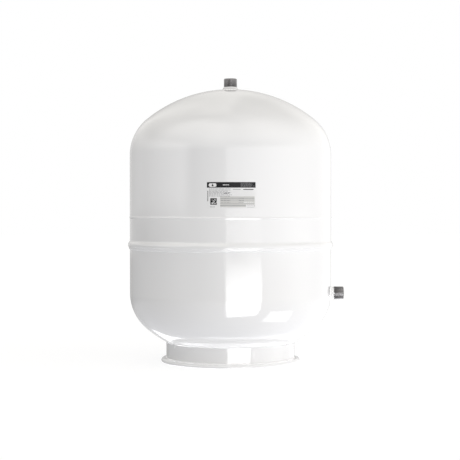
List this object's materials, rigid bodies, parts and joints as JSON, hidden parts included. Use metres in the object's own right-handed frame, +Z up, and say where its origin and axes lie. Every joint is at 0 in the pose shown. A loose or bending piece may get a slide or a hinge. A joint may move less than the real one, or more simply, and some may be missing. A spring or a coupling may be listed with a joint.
{
  "type": "expansion vessel",
  "caption": "Floor-standing cylindrical steel expansion vessel with domed ends, girth seam, foot ring, inner diaphragm, capped gas valve and capped side water connection.",
  "frame": {"origin": "centre of the foot ring on the floor", "axes": "+Z up along the tank's axis, +X towards the water connection, -Y towards the rating label"},
  "size_m": [0.4832, 0.458, 0.6324],
  "materials": {
    "white_enamel": "glossy white powder-coat enamel with faint orange peel",
    "black_rubber": "matt moulded rubber",
    "plain_steel": "turned and zinc plated",
    "spring_steel": "drawn wire",
    "brass": "turned brass",
    "white_plastic": "moulded sealing ring",
    "dark_plastic": "satin moulded polyethylene, dark grey",
    "printed_film": null
  },
  "bodies": {
    "tank": {"upper_shell": "white_enamel", "lower_shell": "white_enamel", "seam_weld": "white_enamel", "foot_ring": "white_enamel", "foot_tack_welds": "white_enamel", "valve_boss": "white_enamel", "valve_boss_weld": "white_enamel", "water_nipple_weld": "white_enamel", "diaphragm": "black_rubber", "valve_stem_oring": "black_rubber", "clamp_ring": "plain_steel", "water_nipple": "plain_steel", "inlet_strainer": "plain_steel", "valve_spring": "spring_steel", "valve_stem": "brass", "valve_core": "brass", "valve_core_seal": "white_plastic", "rating_label": "printed_film"},
    "valve_cap": {"valve_cover": "dark_plastic"},
    "water_cap": {"connection_cap": "dark_plastic"},
    "pin": {"valve_pin": "brass", "valve_pin_seal": "black_rubber"},
    "membrane": {"diaphragm_crown": "black_rubber"}
  },
  "joints": [
    {"name": "valve_cover_lift", "type": "slide", "parent": "tank", "child": "valve_cap", "axis": [0, 0, 1], "range_m": [0, 0.05]},
    {"name": "connection_cap_pull", "type": "slide", "parent": "tank", "child": "water_cap", "axis": [1, 0, 0], "range_m": [0, 0.08]},
    {"name": "valve_pin_press", "type": "slide", "parent": "tank", "child": "pin", "axis": [0, 0, -1], "range_m": [0, 0.0012], "stiffness_N_per_m": 500, "springref_m": -0.002, "deforming": ["valve_spring"]},
    {"name": "diaphragm_travel", "type": "slide", "parent": "tank", "child": "membrane", "axis": [0, 0, 1], "range_m": [0, 0.43], "deforming": ["diaphragm"]}
  ]
}
